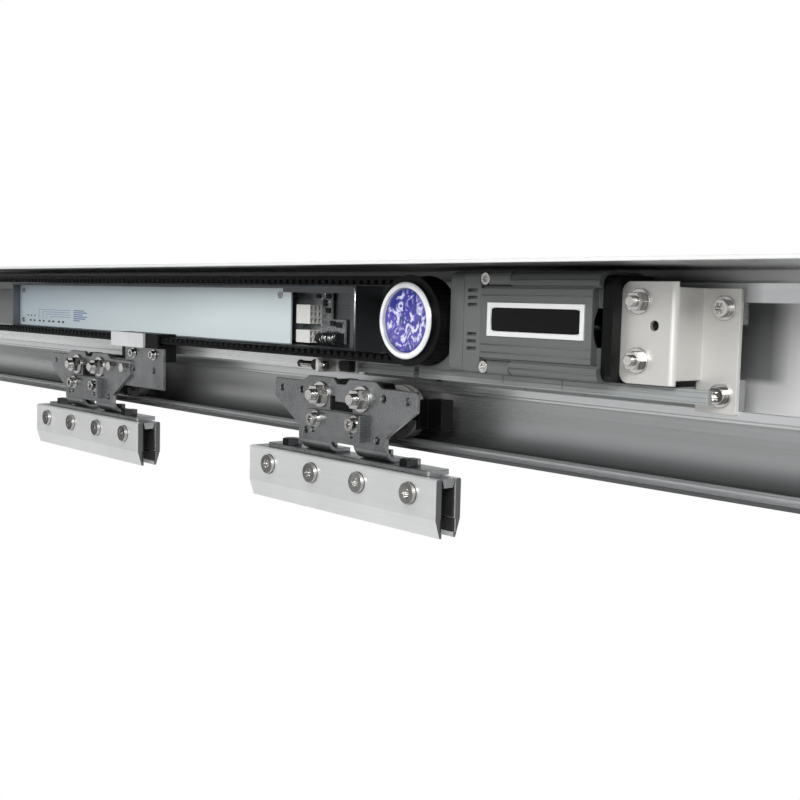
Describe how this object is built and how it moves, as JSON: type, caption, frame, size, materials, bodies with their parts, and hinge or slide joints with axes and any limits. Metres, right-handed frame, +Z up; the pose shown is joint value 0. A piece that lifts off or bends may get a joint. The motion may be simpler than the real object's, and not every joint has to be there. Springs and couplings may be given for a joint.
{
  "type": "sliding door operator",
  "caption": "Belt-driven overhead operator for a sliding glass door: aluminium rail, motor with gearbox, control unit, toothed belt and wheeled carriages with glass clamps.",
  "frame": {"origin": "centre of the rail's back face, on the wall", "axes": "+X along the rail to the motor's end, +Y into the wall, +Z up"},
  "size_m": [1.45, 0.12, 0.1812],
  "materials": {
    "rail_aluminium": "satin anodised",
    "strip_aluminium": "satin anodised",
    "console_grey": "satin dark grey",
    "belt_rubber": "matt black",
    "tray_sheet": "bright sheet",
    "cover_grey": "satin grey",
    "board_green": "solder mask",
    "connector_white": "matt white",
    "component_dark": "lacquered",
    "gearbox_grey": "die cast",
    "bearing_steel": "ground",
    "cap_grey": "matt grey",
    "motor_grey": "satin grey",
    "label_silver": "satin",
    "black_plastic": "matt black",
    "electrical_steel": "laminated",
    "zinc_plate": "zinc plated",
    "bright_zinc": "bright zinc",
    "pulley_aluminium": "turned",
    "disc_white": "gloss white",
    "gear_steel": "hardened",
    "rubber_black": "matt",
    "clamp_aluminium": "satin anodised",
    "wheel_plastic": "turned",
    "plate_grey": "light grey"
  },
  "bodies": {
    "rail_frame": {"rail_profile": "rail_aluminium", "shelf_strip": "strip_aluminium", "motor_console": "console_grey", "toothed_belt": "belt_rubber", "control_tray": "tray_sheet", "control_cover": "cover_grey", "circuit_board": "board_green", "board_connectors": "connector_white", "board_components": "component_dark", "gearbox_housing": "gearbox_grey", "gearbox_lid": "gearbox_grey", "ball_bearings": "bearing_steel", "motor_flange_cap": "cap_grey", "motor_vent_cap": "cap_grey", "motor_body": "motor_grey", "nameplate_frame": "label_silver", "motor_end_cap": "black_plastic", "stator": "electrical_steel", "motor_bracket": "zinc_plate", "rail_clamp_plates": "zinc_plate", "rail_fasteners": "bright_zinc", "idler_bracket": "zinc_plate", "idler_axle": "gear_steel", "stop_brackets": "zinc_plate", "stop_buffers": "rubber_black", "housing_screws": "bright_zinc"},
    "drive": {"drive_pulley": "pulley_aluminium", "pulley_cap": "disc_white", "output_shaft": "gear_steel", "crown_gear": "gear_steel"},
    "rotor": {"rotor_core": "electrical_steel", "pinion_shaft": "gear_steel"},
    "idler": {"idler_pulley": "pulley_aluminium"},
    "carriage_a": {"hanger_plate_a": "zinc_plate", "carriage_block_a": "black_plastic", "lock_plate_a": "zinc_plate", "foot_plate_a": "zinc_plate", "carriage_fasteners_a": "bright_zinc", "track_wiper_a": "black_plastic", "glass_clamp_a": "clamp_aluminium", "clamp_screws_a": "bright_zinc", "glass_pads_a": "rubber_black", "connector_bracket": "zinc_plate", "connector_jaw": "black_plastic", "connector_plate": "plate_grey", "connector_screws": "bright_zinc"},
    "carriage_b": {"hanger_plate_b": "zinc_plate", "carriage_block_b": "black_plastic", "lock_plate_b": "zinc_plate", "foot_plate_b": "zinc_plate", "carriage_fasteners_b": "bright_zinc", "track_wiper_b": "black_plastic", "glass_clamp_b": "clamp_aluminium", "clamp_screws_b": "bright_zinc", "glass_pads_b": "rubber_black"},
    "wheel_a1": {"wheel_a1": "wheel_plastic"},
    "wheel_a2": {"wheel_a2": "wheel_plastic"},
    "wheel_b1": {"wheel_b1": "wheel_plastic"},
    "wheel_b2": {"wheel_b2": "wheel_plastic"}
  },
  "joints": [
    {"name": "carriage_a_slide", "type": "slide", "parent": "rail_frame", "child": "carriage_a", "axis": [1, 0, 0], "range_m": [-0.472, 0.192], "deforming": ["toothed_belt"]},
    {"name": "carriage_b_slide", "type": "slide", "parent": "rail_frame", "child": "carriage_b", "axis": [1, 0, 0], "range_m": [-0.472, 0.192]},
    {"name": "wheel_a1_spin", "type": "hinge", "parent": "carriage_a", "child": "wheel_a1", "pos_m": [-0.0885, -0.042, -0.0407], "axis": [0, 1, 0], "range_deg": [-1504, 613]},
    {"name": "wheel_a2_spin", "type": "hinge", "parent": "carriage_a", "child": "wheel_a2", "pos_m": [-0.0415, -0.042, -0.0407], "axis": [0, 1, 0], "range_deg": [-1504, 613]},
    {"name": "wheel_b1_spin", "type": "hinge", "parent": "carriage_b", "child": "wheel_b1", "pos_m": [0.3065, -0.042, -0.0407], "axis": [0, 1, 0], "range_deg": [-1504, 613]},
    {"name": "wheel_b2_spin", "type": "hinge", "parent": "carriage_b", "child": "wheel_b2", "pos_m": [0.3535, -0.042, -0.0407], "axis": [0, 1, 0], "range_deg": [-1504, 613]},
    {"name": "drive_spin", "type": "hinge", "parent": "rail_frame", "child": "drive", "pos_m": [0.402, -0.08, 0.0265], "axis": [0, 1, 0], "range_deg": [-394, 967]},
    {"name": "idler_spin", "type": "hinge", "parent": "rail_frame", "child": "idler", "pos_m": [-0.654, -0.08, 0.0265], "axis": [0, 1, 0], "range_deg": [-394, 967]},
    {"name": "rotor_spin", "type": "hinge", "parent": "rail_frame", "child": "rotor", "pos_m": [0.5, -0.0545, 0.0265], "axis": [1, 0, 0], "range_deg": [-2898, 1180]}
  ],
  "couplings": [
    {"joint": "carriage_b_slide", "follows": "carriage_a_slide", "ratio": 1},
    {"joint": "wheel_a1_spin", "follows": "carriage_a_slide", "rad_per_m": 55.556},
    {"joint": "wheel_a2_spin", "follows": "carriage_a_slide", "rad_per_m": 55.556},
    {"joint": "wheel_b1_spin", "follows": "carriage_a_slide", "rad_per_m": 55.556},
    {"joint": "wheel_b2_spin", "follows": "carriage_a_slide", "rad_per_m": 55.556},
    {"joint": "drive_spin", "follows": "carriage_a_slide", "rad_per_m": -35.7},
    {"joint": "idler_spin", "follows": "carriage_a_slide", "rad_per_m": -35.7},
    {"joint": "rotor_spin", "follows": "carriage_a_slide", "rad_per_m": 107.1}
  ]
}
